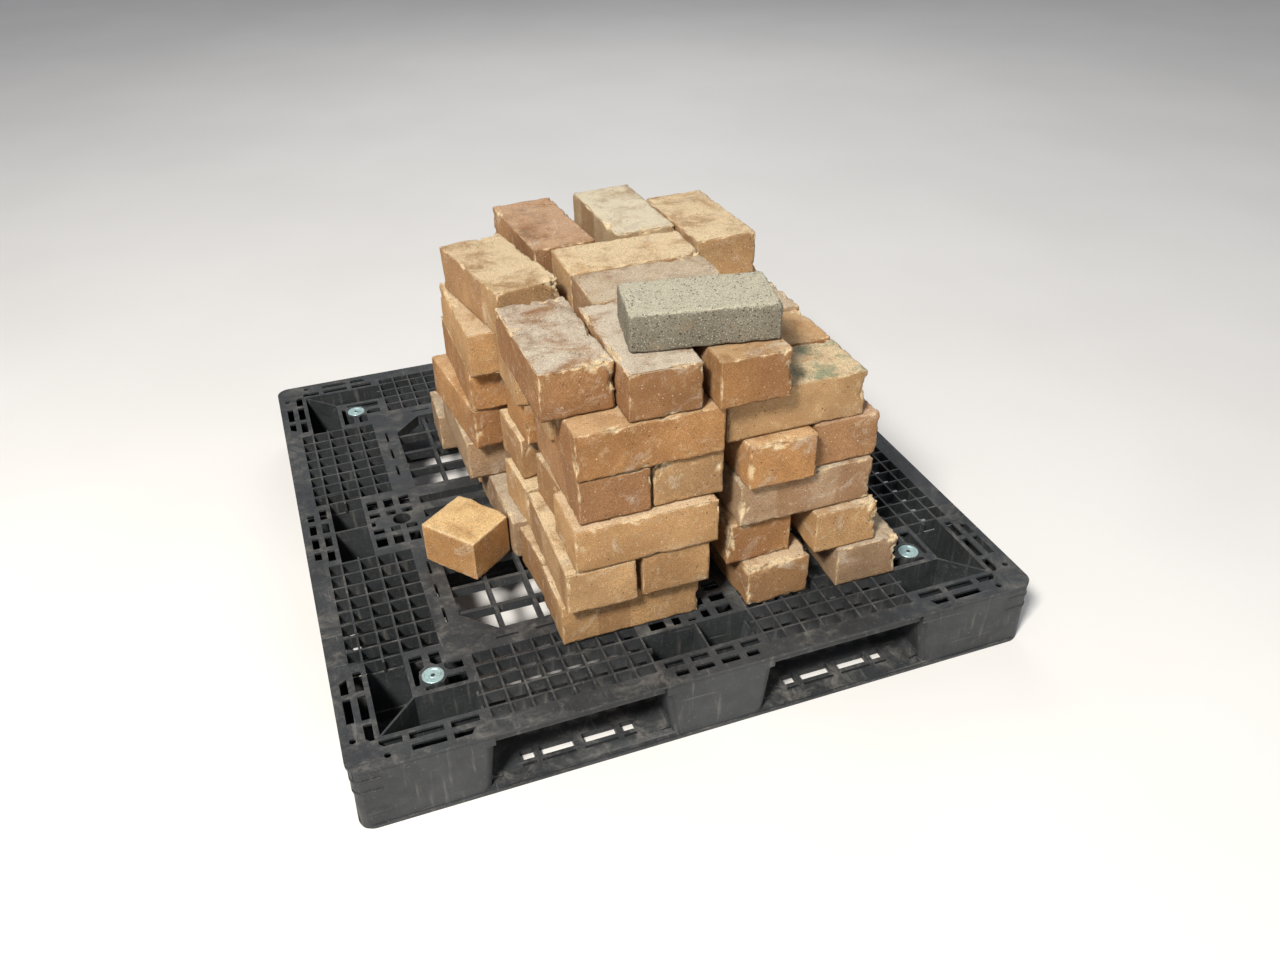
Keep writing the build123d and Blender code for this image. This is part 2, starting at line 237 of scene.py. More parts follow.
class ShaderGraph(NodeSheet):
    """The nodes of one material.

    Attributes:
        material: The material.
        shader: Its surface shader.
    """

    def __init__(self, name: str) -> None:
        """Starts a material with an empty node tree.

        Args:
            name: The material's name.
        """
        self.material = bpy.data.materials.new(name)
        self.material.use_nodes = True
        super().__init__(self.material.node_tree)
        self.tree.nodes.clear()
        output = self.add("ShaderNodeOutputMaterial")
        self.shader = self.add("ShaderNodeBsdfPrincipled")
        self.join(self.shader.outputs["BSDF"], output.inputs["Surface"])

    def place(self, stretch: Vector = Vector((1.0, 1.0, 1.0))) -> Socket:
        """Object coordinates, scaled along each axis.

        Args:
            stretch: The scale along X, Y and Z.

        Returns:
            The socket with the mapped position.
        """
        coordinates = self.add("ShaderNodeTexCoord")
        mapping = self.add("ShaderNodeMapping")
        mapping.inputs["Scale"].default_value = stretch
        self.join(coordinates.outputs["Object"], mapping.inputs["Vector"])
        return mapping.outputs["Vector"]

    def cells(self, place: Socket, scale: float) -> Socket:
        """Distance to the nearest of a cloud of scattered points.

        Args:
            place: The position it reads.
            scale: Points per metre.

        Returns:
            The distance, 0 at each point.
        """
        texture = self.add("ShaderNodeTexVoronoi")
        texture.inputs["Scale"].default_value = scale
        self.join(place, texture.inputs["Vector"])
        return texture.outputs["Distance"]

    def mix(self, factor: object, first: object, second: object, blend: str = "MIX") -> Socket:
        """Mixes two colours.

        Args:
            factor: A socket or number, 0 for the first colour.
            first: A colour or a colour socket.
            second: A colour or a colour socket.
            blend: The blend mode.

        Returns:
            The mixed colour's socket.
        """
        node = self.add("ShaderNodeMix", data_type="RGBA", blend_type=blend)
        for index, value in ((0, factor), (6, first), (7, second)):
            self.feed(rgba(value) if isinstance(value, tuple) else value, node.inputs[index])
        return node.outputs[2]

    def attribute(self, name: str, output: str = "Fac") -> Socket:
        """Reads a named attribute of the mesh."""
        return self.add("ShaderNodeAttribute", attribute_name=name).outputs[output]

    def upward(self) -> Socket:
        """How far the surface faces up.

        Returns:
            The Z part of the surface's normal.
        """
        split = self.add("ShaderNodeSeparateXYZ")
        self.join(self.add("ShaderNodeNewGeometry").outputs["Normal"], split.inputs["Vector"])
        return split.outputs["Z"]

    def bump(self, height: Socket, depth: float, previous: Socket | None = None) -> Socket:
        """Bumps the surface, on top of an earlier bump if one is given.

        Args:
            height: The height, from 0 to 1.
            depth: The depth of the bump in metres.
            previous: The normal to start from.

        Returns:
            The bumped normal's socket.
        """
        node = self.add("ShaderNodeBump")
        node.inputs["Distance"].default_value = depth
        self.join(height, node.inputs["Height"])
        if previous is not None:
            self.join(previous, node.inputs["Normal"])
        return node.outputs["Normal"]

    def finish(
        self, colour: Socket, roughness: Socket, normal: Socket, shine: float = 0.5
    ) -> bpy.types.Material:
        """Joins the finished channels to the shader.

        Args:
            colour: The base colour.
            roughness: The roughness.
            normal: The bumped normal.
            shine: The level of the specular reflection.

        Returns:
            The material.
        """
        self.shader.inputs["Specular IOR Level"].default_value = shine
        for name, source in (("Base Color", colour), ("Roughness", roughness), ("Normal", normal)):
            self.join(source, self.shader.inputs[name])
        return self.material


@dataclass(frozen=True)
class WeatheredPlastic:
    """Dark recycled plastic, greyed by the sun, with dust on what faces up and pale scuffs.

    Attributes:
        name: The material's name.
        dark: Colour of the clean plastic.
        faded: Colour where the sun has greyed it.
        dust: Colour of the dust.
        scratched: Colour of the scuffs.
        dust_amount: Share of the upward faces that dust covers.
    """

    name: str
    dark: Colour = (0.019, 0.021, 0.0225)
    faded: Colour = (0.050, 0.054, 0.056)
    dust: Colour = (0.25, 0.23, 0.20)
    scratched: Colour = (0.15, 0.152, 0.15)
    dust_amount: float = 0.42

    def build(self) -> bpy.types.Material:
        """Builds the material.

        Returns:
            The finished material.
        """
        graph = ShaderGraph(self.name)
        place = graph.place()
        patches = graph.ramp(graph.noise(place, 6.0, 5.0, 0.6, 0.4), 0.35, 0.68)
        mottle = graph.ramp(graph.noise(place, 60.0, 4.0, 0.65), 0.3, 0.75)
        plastic = graph.mix(graph.times(patches, 0.6), self.dark, self.faded)
        plastic = graph.mix(graph.times(mottle, 0.3), plastic, self.faded)
        drawn_down = graph.place(Vector((1.0, 1.0, 0.12)))
        streaks = graph.ramp(graph.noise(drawn_down, 90.0, 3.0), 0.55, 0.8)
        sides = graph.ramp(graph.upward(), 0.35, 0.75, 1.0, 0.0)
        plastic = graph.mix(graph.times(streaks, sides, 0.35), plastic, self.dust)
        along_y = graph.place(Vector((1.0, 0.07, 1.0)))
        scuffs = graph.ramp(graph.noise(along_y, 160.0, 2.0, 0.5, 0.6), 0.66, 0.74)
        along_x = graph.place(Vector((0.07, 1.0, 1.0)))
        crossed = graph.ramp(graph.noise(along_x, 140.0, 2.0, 0.5, 0.6), 0.67, 0.75)
        scratch = graph.math("MAXIMUM", scuffs, crossed)
        plastic = graph.mix(graph.times(scratch, 0.35), plastic, self.scratched)
        film = graph.times(graph.ramp(graph.upward(), 0.6, 0.95), self.dust_amount)
        film = graph.times(film, graph.ramp(graph.noise(place, 19.0, 9.0, 0.82, 0.5), 0.46, 0.70))
        grains = graph.ramp(graph.noise(place, 420.0, 3.0, 0.7), 0.60, 0.68)
        film = graph.math("MAXIMUM", film, graph.times(grains, 0.3))
        colour = graph.mix(film, plastic, self.dust)
        rough = graph.math("ADD", graph.ramp(graph.noise(place, 35.0, 4.0), 0.3, 0.7, 0.42, 0.60), film)
        grain = graph.bump(graph.noise(place, 900.0, 3.0, 0.6), 0.0003)
        sink = graph.bump(graph.noise(place, 28.0, 2.0, 0.4), 0.0012, grain)
        scored = graph.bump(graph.math("SUBTRACT", 1.0, scratch), 0.0002, sink)
        return graph.finish(colour, graph.math("MINIMUM", rough, 0.95), scored, shine=0.42)


@dataclass(frozen=True)
class FiredClay:
    """Used clay brick: mottled body, a pale top that is partly weathered and partly a painted sunlit
    highlight, pits painted dark as shade, grit, lime smears and worn edges.

    The brick's own colours come from the mesh attributes body_colour and top_colour_with_painted_highlight,
    the shift of its pattern from brick_seed, the place on the brick from local_place, the wear of its edges
    from edge_wear, its brown stains from stain and its lichen from moss.

    Attributes:
        name: The material's name.
        chip: Colour of freshly chipped clay.
        lime: Colour of old lime and dust.
        soot: Colour of the brown stains on the upper sides.
        painted_pit_shade: Dark colour painted inside the pits as shade.
        moss: Colour of lichen on the damp bricks.
        grit: Colour of the coarse grains in the clay.
        flash: Colour of the dark bands that the kiln left.
        firing: Tints of the least and most fired parts.
        grain: Tints of the darkest and palest sand grains.
    """

    name: str
    chip: Colour = (0.84, 0.68, 0.44)
    lime: Colour = (0.78, 0.72, 0.61)
    soot: Colour = (0.30, 0.215, 0.15)
    painted_pit_shade: Colour = (0.15, 0.085, 0.045)
    moss: Colour = (0.30, 0.34, 0.22)
    grit: Colour = (0.88, 0.80, 0.66)
    flash: Colour = (0.31, 0.155, 0.072)
    firing: tuple[Colour, Colour] = ((0.78, 0.71, 0.66), (1.20, 1.15, 1.10))
    grain: tuple[Colour, Colour] = ((0.69, 0.65, 0.59), (1.37, 1.34, 1.29))

    def build(self) -> bpy.types.Material:
        """Builds the material.

        Returns:
            The finished material.
        """
        graph = ShaderGraph(self.name)
        place = graph.vector("ADD", graph.place(), graph.attribute("brick_seed", "Vector"))
        side = self._side(graph, place)
        # Upward faces take the upper side's colour, which is partly weathering and partly a painted sunlit
        # highlight.
        colour = graph.mix(graph.ramp(graph.upward(), 0.55, 0.9), side, self._upper(graph, place, side))

        flaking = graph.ramp(graph.noise(place, 85.0, 4.0, 0.7), 0.30, 0.50)
        flaked = graph.times(graph.attribute("edge_wear"), flaking, 0.95)
        colour = graph.mix(flaked, colour, self.chip)
        speck = graph.ramp(graph.cells(place, 105.0), 0.09, 0.17, 1.0, 0.0)
        chosen = graph.ramp(graph.noise(place, 40.0, 2.0), 0.50, 0.58)
        pits = graph.times(speck, chosen)
        # Painted shade: the sunk pits are painted dark, standing in for the shade inside them.
        colour = graph.mix(graph.times(pits, 0.85), colour, self.painted_pit_shade)
        grit = graph.times(
            graph.ramp(graph.cells(place, 150.0), 0.11, 0.19, 1.0, 0.0),
            graph.ramp(graph.noise(place, 60.0, 2.0), 0.52, 0.58),
        )
        colour = graph.mix(graph.times(grit, 0.8), colour, self.grit)
        sand = graph.noise(place, 620.0, 4.0, 0.75)
        grains = graph.mix(graph.ramp(sand, 0.36, 0.64), *self.grain)
        colour = graph.mix(0.85, colour, grains, "MULTIPLY")

        drag = graph.noise(graph.place(Vector((1.0, 1.0, 9.0))), 38.0, 4.0, 0.6, 0.2)
        normal = graph.bump(drag, 0.0012)
        normal = graph.bump(graph.noise(place, 150.0, 9.0, 0.85), 0.0046, normal)
        normal = graph.bump(sand, 0.0013, normal)
        normal = graph.bump(graph.math("SUBTRACT", 1.0, pits), 0.0028, normal)
        normal = graph.bump(grit, 0.0008, normal)
        return graph.finish(colour, graph.ramp(sand, 0.2, 0.8, 0.88, 0.98), normal, shine=0.18)

    def _side(self, graph: ShaderGraph, place: Socket) -> Socket:
        """Colours a brick's sides: uneven firing, flash bands across its length and smears of lime.

        Args:
            graph: The material's graph.
            place: The position that the pattern reads.

        Returns:
            The sides' colour.
        """
        cloud = graph.noise(place, 9.0, 5.0, 0.62, 0.3)
        firing = graph.mix(graph.ramp(cloud, 0.30, 0.72), *self.firing)
        side = graph.mix(1.0, graph.attribute("body_colour", "Color"), firing, "MULTIPLY")
        on_brick, seed = (graph.attribute(name, "Vector") for name in ("local_place", "brick_seed"))
        banded = graph.vector("MULTIPLY_ADD", on_brick, (1.0, 0.15, 0.08), seed)
        flash = graph.ramp(graph.noise(banded, 9.0, 1.0, 0.4), 0.53, 0.56)
        side = graph.mix(graph.times(flash, 0.5), side, self.flash)
        smear = graph.ramp(graph.noise(place, 15.0, 7.0, 0.75, 0.9), 0.54, 0.68)
        side = graph.mix(graph.times(smear, 0.38), side, self.lime)
        dusty = graph.ramp(graph.noise(place, 48.0, 5.0, 0.75, 0.3), 0.52, 0.74)
        return graph.mix(graph.times(dusty, 0.35), side, self.chip)

    def _upper(self, graph: ShaderGraph, place: Socket, side: Socket) -> Socket:
        """Colours a brick's upper side: paler, partly from bleaching and partly as a painted sunlit
        highlight, with brown stains, clouds of lime and some lichen.

        Args:
            graph: The material's graph.
            place: The position that the pattern reads.
            side: The colour of the sides.

        Returns:
            The upper side's colour.
        """
        top = graph.attribute("top_colour_with_painted_highlight", "Color")
        # Patches of the paler top colour: partly bleaching, partly a painted sunlit highlight.
        bleach_and_painted_highlight = graph.ramp(graph.noise(place, 15.0, 7.0, 0.72, 0.4), 0.30, 0.58)
        upper = graph.mix(graph.times(bleach_and_painted_highlight, 0.95), side, top)
        stain = graph.ramp(graph.noise(place, 19.0, 6.0, 0.7, 0.9), 0.50, 0.70)
        upper = graph.mix(graph.times(stain, graph.attribute("stain")), upper, self.soot)
        bloom = graph.ramp(graph.noise(place, 12.0, 7.0, 0.75, 0.5), 0.54, 0.72)
        upper = graph.mix(graph.times(bloom, 0.6), upper, self.lime)
        growth = graph.ramp(graph.noise(place, 22.0, 7.0, 0.75), 0.46, 0.60)
        return graph.mix(graph.times(graph.attribute("moss"), growth), upper, self.moss)


@dataclass(frozen=True)
class CastConcrete:
    """Sandy grey concrete with open pores, pale grains and a few rusty spots; its pores are painted dark as
    shade and its upper side paler as a painted sunlit highlight.

    Attributes:
        name: The material's name.
        paste: Colour of the cement paste.
        shade: Its colour in the darker blotches.
        painted_sunlit_top: Colour painted on its upper side as a sunlit highlight.
        sand: Colour of the sand grains.
        painted_pore_shade: Dark colour painted inside the pores as shade.
        rust: Colour of the rusty spots.
        fines: Tints of the darkest and palest fine grains.
    """

    name: str
    paste: Colour = (0.30, 0.270, 0.205)
    shade: Colour = (0.225, 0.20, 0.150)
    # Painted highlight: the paler colour of the upper side stands in for the light falling on it.
    painted_sunlit_top: Colour = (0.60, 0.555, 0.43)
    sand: Colour = (0.68, 0.64, 0.54)
    painted_pore_shade: Colour = (0.075, 0.066, 0.050)
    rust: Colour = (0.36, 0.24, 0.13)
    fines: tuple[Colour, Colour] = ((0.55, 0.54, 0.51), (1.38, 1.37, 1.33))

    def build(self) -> bpy.types.Material:
        """Builds the material.

        Returns:
            The finished material.
        """
        graph = ShaderGraph(self.name)
        place = graph.place()
        blotch = graph.ramp(graph.noise(place, 14.0, 5.0, 0.6, 0.3), 0.3, 0.7)
        colour = graph.mix(blotch, self.shade, self.paste)
        # Painted sunlit highlight: upward faces are painted paler, standing in for the light on them.
        light = graph.ramp(graph.upward(), 0.35, 0.9)
        colour = graph.mix(light, colour, self.painted_sunlit_top)
        grains = graph.ramp(graph.cells(place, 250.0), 0.20, 0.36, 1.0, 0.0)
        picked = graph.ramp(graph.noise(place, 210.0, 3.0, 0.6), 0.42, 0.52)
        colour = graph.mix(graph.times(grains, picked, 0.8), colour, self.sand)
        holes = graph.times(
            graph.ramp(graph.cells(place, 215.0), 0.18, 0.32, 1.0, 0.0),
            graph.ramp(graph.noise(place, 130.0, 3.0), 0.46, 0.54),
        )
        # Painted shade: the sunk pores are painted near black, standing in for the shade inside them.
        colour = graph.mix(graph.times(holes, 0.85), colour, self.painted_pore_shade)
        fines = graph.noise(place, 900.0, 3.0, 0.7)
        speckle = graph.mix(graph.ramp(fines, 0.38, 0.62), *self.fines)
        colour = graph.mix(0.8, colour, speckle, "MULTIPLY")
        rust = graph.ramp(graph.noise(place, 21.0, 3.0, 0.5, 0.5), 0.66, 0.76)
        colour = graph.mix(graph.times(rust, 0.35), colour, self.rust)
        normal = graph.bump(graph.noise(place, 260.0, 8.0, 0.8), 0.0050)
        normal = graph.bump(graph.math("SUBTRACT", 1.0, holes), 0.0034, normal)
        normal = graph.bump(grains, 0.0016, normal)
        return graph.finish(colour, graph.ramp(blotch, 0.0, 1.0, 0.92, 0.98), normal, shine=0.2)


@dataclass(frozen=True)
class DullZinc:
    """Zinc-coated metal, gone pale and slightly green, with shade painted in the recess at each disc's
    centre.

    Attributes:
        name: The material's name.
        bright: Colour of the metal.
        bloom: Colour of its corrosion bloom.
        dirt: Colour of the dirt on it.
        recess: Dark colour painted in the recess at the disc's centre as shade.
        stand: How far along X and Y the discs stand from the pallet's centre.
    """

    name: str
    bright: Colour = (0.38, 0.51, 0.51)
    bloom: Colour = (0.43, 0.60, 0.58)
    dirt: Colour = (0.16, 0.155, 0.14)
    recess: Colour = (0.045, 0.05, 0.05)
    stand: float = 0.4185

    def build(self) -> bpy.types.Material:
        """Builds the material.

        Returns:
            The finished material.
        """
        graph = ShaderGraph(self.name)
        place = graph.place()
        bloom = graph.ramp(graph.noise(place, 170.0, 5.0, 0.65, 0.4), 0.38, 0.62)
        colour = graph.mix(bloom, self.bright, self.bloom)
        dirt = graph.ramp(graph.noise(place, 60.0, 4.0, 0.7), 0.58, 0.72)
        colour = graph.mix(graph.times(dirt, 0.5), colour, self.dirt)
        # Painted shade: the recess at each disc's centre is painted near black.
        colour = graph.mix(self._near_centre(graph, place), colour, self.recess)
        rough = graph.ramp(bloom, 0.0, 1.0, 0.36, 0.62)
        turned = graph.bump(graph.noise(place, 520.0, 3.0), 0.0003)
        graph.shader.inputs["Metallic"].default_value = 0.55
        return graph.finish(colour, rough, turned)

    def _near_centre(self, graph: ShaderGraph, place: Socket) -> Socket:
        """Picks out the recess at the centre of each of the four discs, where shade is painted.

        Args:
            graph: The material's graph.
            place: The position on the pallet.

        Returns:
            The mask's socket.
        """
        folded = graph.vector("ABSOLUTE", place)
        flat = graph.vector("MULTIPLY_ADD", folded, (1.0, 1.0, 0.0), (-self.stand, -self.stand, 0.0))
        return graph.ramp(graph.vector("LENGTH", flat), 0.0026, 0.0042, 1.0, 0.0)


@dataclass(frozen=True)
class StudioPaper:
    """The pale floor under the pallet.

    Attributes:
        name: The material's name.
        colour: The paper's colour.
        cloud: Its colour in the paler patches.
    """

    name: str
    colour: Colour = (0.72, 0.70, 0.67)
    cloud: Colour = (0.75, 0.73, 0.70)

    def build(self) -> bpy.types.Material:
        """Builds the material.

        Returns:
            The finished material.
        """
        graph = ShaderGraph(self.name)
        place = graph.place()
        patches = graph.ramp(graph.noise(place, 1.5, 2.0), 0.3, 0.7)
        tone = graph.mix(patches, self.colour, self.cloud)
        fibre = graph.noise(place, 800.0, 2.0)
        return graph.finish(tone, graph.ramp(fibre, 0.0, 1.0, 0.86, 0.92), graph.bump(fibre, 0.0001))


def scene_object(name: str, data: bpy.types.ID) -> bpy.types.Object:
    """Puts a mesh, a light or a camera in the scene.

    Args:
        name: The object's name.
        data: Its data; a mesh is in the row frame.

    Returns:
        The new object, at the origin.
    """
    made = bpy.data.objects.new(name, data)
    bpy.context.scene.collection.objects.link(made)
    return made


def store(mesh: bpy.types.Mesh, name: str, values: list[float]) -> None:
    """Stores values, one after another, on the points of a mesh."""
    kind = ATTRIBUTE_KINDS[name]
    mesh.attributes.new(name, kind, "POINT").data.foreach_set(VALUE_FIELDS[kind], values)


def welded_copy(node: str) -> bmesh.types.BMesh:
    """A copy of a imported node's mesh with its shared corners merged.

    Args:
        node: The node's name.

    Returns:
        The copy, which the caller frees.
    """
    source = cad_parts[node]
    copy = bmesh.new()
    copy.from_mesh(source.data)
    copy.transform(source.matrix_world)
    bmesh.ops.remove_doubles(copy, verts=copy.verts, dist=2e-5)
    return copy


def flattened_object(node: str, name: str, tolerance: float) -> bpy.types.Object:
    """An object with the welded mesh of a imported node, its flat faces joined.

    Args:
        node: The node's name.
        name: The object's name.
        tolerance: The widest angle between two faces that count as one, in radians.

    Returns:
        The new object.
    """
    mesh = bpy.data.meshes.new(name)
    solid = welded_copy(node)
    bmesh.ops.dissolve_limit(solid, angle_limit=tolerance, verts=solid.verts, edges=solid.edges)
    solid.to_mesh(mesh)
    solid.free()
    return scene_object(name, mesh)


def bake_modifiers(thing: bpy.types.Object) -> None:
    """Replaces an object's mesh by what its modifiers make of it, and removes them.

    Args:
        thing: The object.
    """
    graph = bpy.context.evaluated_depsgraph_get()
    baked = bpy.data.meshes.new_from_object(thing.evaluated_get(graph), depsgraph=graph)
    thing.modifiers.clear()
    thing.data = baked


@dataclass(frozen=True)
class BrickPlace:
    """Where one brick lies.

    Attributes:
        centre: The middle of the brick.
        turn: Its turn about Z in radians.
    """

    centre: Vector
    turn: float


@dataclass(frozen=True)
class BrickLook:
    """The look of one brick that the photograph shows clearly.

    Attributes:
        course: The course's number.
        x: The brick's middle along X.
        y: The brick's middle along Y.
        tone: Its fired colour.
        moss: How much lichen its top carries, 0 to 1.
        stain: How strong the brown stains on its top are, 0 to 1.
    """

    course: int
    x: float
    y: float
    tone: ClayTone
    moss: float = 0.0
    stain: float = 0.3


KNOWN_LOOKS = (
    BrickLook(1, -0.098, -0.374, ClayTone.TAN),
    BrickLook(1, 0.146, -0.335, ClayTone.TAN),
    BrickLook(1, 0.311, -0.344, ClayTone.ASH),
    BrickLook(2, -0.149, -0.337, ClayTone.CREAM),
    BrickLook(2, -0.029, -0.334, ClayTone.TAN),
    BrickLook(2, 0.122, -0.312, ClayTone.ORANGE),
    BrickLook(2, 0.266, -0.337, ClayTone.TAN),
    BrickLook(3, -0.076, -0.397, ClayTone.TAN),
    BrickLook(3, 0.196, -0.381, ClayTone.ASH),
    BrickLook(4, -0.122, -0.327, ClayTone.RUDDY),
    BrickLook(4, -0.005, -0.322, ClayTone.CREAM),
    BrickLook(4, 0.143, -0.337, ClayTone.ORANGE),
    BrickLook(4, 0.262, -0.315, ClayTone.RUDDY),
    BrickLook(5, -0.066, -0.388, ClayTone.ORANGE),
    BrickLook(5, 0.174, -0.370, ClayTone.CREAM, 0.9),
    BrickLook(5, 0.174, -0.252, ClayTone.ORANGE),
    BrickLook(5, -0.195, 0.022, ClayTone.TAN),
    BrickLook(6, -0.159, -0.279, ClayTone.SMOKED, stain=0.6),
    BrickLook(6, -0.042, -0.326, ClayTone.SMOKED, stain=0.3),
    BrickLook(6, 0.090, -0.340, ClayTone.ORANGE, stain=0.5),
    BrickLook(6, -0.170, 0.0, ClayTone.CREAM, stain=0.1),
    BrickLook(6, -0.054, 0.140, ClayTone.RUDDY, stain=0.6),
    BrickLook(6, 0.101, 0.151, ClayTone.BLEACHED, stain=0.2),
    BrickLook(6, 0.041, -0.038, ClayTone.CREAM, stain=0.15),
    BrickLook(6, 0.041, -0.153, ClayTone.ASH, stain=0.4),
    BrickLook(6, 0.219, 0.070, ClayTone.CREAM, stain=0.4),
)


class BrickNodes(NodeSheet):
    """The node tree that turns a point for each brick into a weathered, chipped brick.

    Attributes:
        sockets: The identifier of each named input.
    """

    GRID = {"Vertices X": 46, "Vertices Y": 26, "Vertices Z": 17}
    EASE = 1.45
    ONE = (1.0, 1.0, 1.0)

    def __init__(self, material: bpy.types.Material, size: Vector) -> None:
        """Builds the tree.

        Args:
            material: The bricks' finish.
            size: The length, width and height of a brick.
        """
        super().__init__(bpy.data.node_groups.new("weathered_bricks", "GeometryNodeTree"))
        self.sockets: dict[str, str] = {}
        self._open_interface()
        self._fill(material, size / 2)

    def _open_interface(self) -> None:
        """Adds the tree's inputs and its output."""
        face = self.tree.interface
        face.new_socket("Geometry", in_out="INPUT", socket_type="NodeSocketGeometry")
        face.new_socket("Geometry", in_out="OUTPUT", socket_type="NodeSocketGeometry")
        for name in ("Edge Radius", "Chip Depth", "Edge Crumble", "Face Roughness"):
            made = face.new_socket(name, in_out="INPUT", socket_type="NodeSocketFloat")
            self.sockets[name] = made.identifier

    def _read(self, name: str) -> Socket:
        """Reads a named attribute.

        Args:
            name: The attribute's name.

        Returns:
            The attribute's socket.
        """
        node = self.add("GeometryNodeInputNamedAttribute", data_type=ATTRIBUTE_KINDS[name])
        node.inputs["Name"].default_value = name
        return node.outputs["Attribute"]

    def _keep(self, geometry: Socket, name: str, value: Socket) -> Socket:
        """Stores a value on the points of a mesh.

        Args:
            geometry: The mesh.
            name: The attribute's name.
            value: The value at each point.

        Returns:
            The mesh with the attribute.
        """
        kind = ATTRIBUTE_KINDS[name]
        node = self.add("GeometryNodeStoreNamedAttribute", data_type=kind, domain="POINT")
        node.inputs["Name"].default_value = name
        self.join(geometry, node.inputs["Geometry"])
        self.join(value, node.inputs["Value"])
        return node.outputs["Geometry"]

    def _combined(self, **parts: Socket) -> Socket:
        """Makes a vector of numbers.

        Args:
            **parts: The sockets for some or all of X, Y and Z.

        Returns:
            The vector's socket.
        """
        node = self.add("ShaderNodeCombineXYZ")
        for axis, part in parts.items():
            self.join(part, node.inputs[axis])
        return node.outputs["Vector"]

    def _chips(self, place: Socket, shifted: Socket) -> Socket:
        """How deep each point's edge is broken away, as a share of the greatest depth.

        Args:
            place: The place on the brick.
            shifted: The same place, moved by the brick's seed.

        Returns:
            The share's socket.
        """
        worn = self.ramp(self.noise(shifted, 45.0, 4.0, 0.5), 0.47, 0.58)
        ragged = self.ramp(self.noise(shifted, 95.0, 4.0, 0.5), 0.34, 0.62)
        broken = self.ramp(self.noise(shifted, 15.0, 2.0, 0.5), 0.565, 0.625)
        depth = self.times(self.math("ADD", self.times(worn, 0.34), broken), ragged)
        heights = self.add("ShaderNodeSeparateXYZ")
        self.join(place, heights.inputs["Vector"])
        upper = self.math("MULTIPLY_ADD", self.ramp(heights.outputs["Z"], -0.03, 0.0), 0.6, 0.4)
        return self.times(depth, upper)

    def _block(self, half: Vector) -> Socket:
        """A plain brick whose points lie closer together towards its edges.

        Args:
            half: Half the length, width and height of a brick.

        Returns:
            The brick's mesh, with the attribute local_place.
        """
        cube = self.add("GeometryNodeMeshCube")
        cube.inputs["Size"].default_value = (2.0, 2.0, 2.0)
        for name, count in self.GRID.items():
            cube.inputs[name].default_value = count
        unit = self.add("GeometryNodeInputPosition").outputs["Position"]
        from_edge = self.vector("SUBTRACT", self.ONE, self.vector("ABSOLUTE", unit))
        eased = self.vector("POWER", from_edge, (self.EASE,) * 3)
        even = self.vector("MULTIPLY", self.vector("SIGN", unit), self.vector("SUBTRACT", self.ONE, eased))
        grid = self.add("GeometryNodeSetPosition")
        self.join(cube.outputs["Mesh"], grid.inputs["Geometry"])
        self.join(self.vector("MULTIPLY", even, tuple(half)), grid.inputs["Position"])
        here = self.add("GeometryNodeInputPosition").outputs["Position"]
        return self._keep(grid.outputs["Geometry"], "local_place", here)

    def _laid(self, points: Socket, brick: Socket) -> Socket:
        """Lays a brick at each point.

        Args:
            points: The points.
            brick: The brick's mesh.

        Returns:
            The mesh of all the bricks.
        """
        scatter = self.add("GeometryNodeInstanceOnPoints")
        self.join(points, scatter.inputs["Points"])
        self.join(brick, scatter.inputs["Instance"])
        to_rotation = self.add("FunctionNodeEulerToRotation")
        self.join(self._combined(Z=self._read("turn")), to_rotation.inputs["Euler"])
        self.join(to_rotation.outputs["Rotation"], scatter.inputs["Rotation"])
        real = self.add("GeometryNodeRealizeInstances")
        self.join(scatter.outputs["Instances"], real.inputs["Geometry"])
        return real.outputs["Geometry"]

    def _fill(self, material: bpy.types.Material, half: Vector) -> None:
        """Adds the nodes.

        Args:
            material: The bricks' finish.
            half: Half the length, width and height of a brick.
        """
        given = self.add("NodeGroupInput").outputs
        bricks = self._laid(given["Geometry"], self._block(half))
        place = self._read("local_place")
        shifted = self.vector("ADD", place, self._read("brick_seed"))

        chipped = self.times(self._chips(place, shifted), given["Chip Depth"])
        radius = self.math("ADD", given["Edge Radius"], chipped)
        inner = self.vector("SUBTRACT", tuple(half), self._combined(X=radius, Y=radius, Z=radius))
        lowest = self.vector("SCALE", inner, -1.0)
        held = self.vector("MAXIMUM", self.vector("MINIMUM", place, inner), lowest)
        outward = self.vector("NORMALIZE", self.vector("SUBTRACT", place, held))
        rounded = self.vector("ADD", held, self.vector("SCALE", outward, radius))

        coarse = self.noise(shifted, 22.0, 2.0, 0.5)
        fine = self.noise(shifted, 210.0, 4.0, 0.5)
        relief = self.math("ADD", self.times(coarse, 0.75), self.times(fine, 0.6))
        face = self.times(relief, given["Face Roughness"])
        lost = self.vector("LENGTH", self.vector("SUBTRACT", rounded, place))
        near_edge = self.ramp(lost, 0.0, 0.0008)
        crumble = self.times(self.ramp(self.noise(shifted, 150.0, 4.0, 0.5), 0.38, 0.62), near_edge)
        shrink = self.math("MULTIPLY_ADD", crumble, given["Edge Crumble"], face)
        sunk = self.vector("SUBTRACT", rounded, self.vector("SCALE", outward, shrink))
        rotate = self.add("ShaderNodeVectorRotate", rotation_type="Z_AXIS")
        self.join(self.vector("SUBTRACT", sunk, place), rotate.inputs["Vector"])
        self.join(self._read("turn"), rotate.inputs["Angle"])

        shape = self.add("GeometryNodeSetPosition")
        worn = self._keep(bricks, "edge_wear", self.ramp(lost, 0.0002, 0.0014))
        self.join(worn, shape.inputs["Geometry"])
        self.join(rotate.outputs["Vector"], shape.inputs["Offset"])
        smooth = self.add("GeometryNodeSetShadeSmooth")
        self.join(shape.outputs["Geometry"], smooth.inputs["Geometry"])
        paint = self.add("GeometryNodeSetMaterial")
        paint.inputs["Material"].default_value = material
        self.join(smooth.outputs["Geometry"], paint.inputs["Geometry"])
        self.join(paint.outputs["Geometry"], self.add("NodeGroupOutput").inputs["Geometry"])


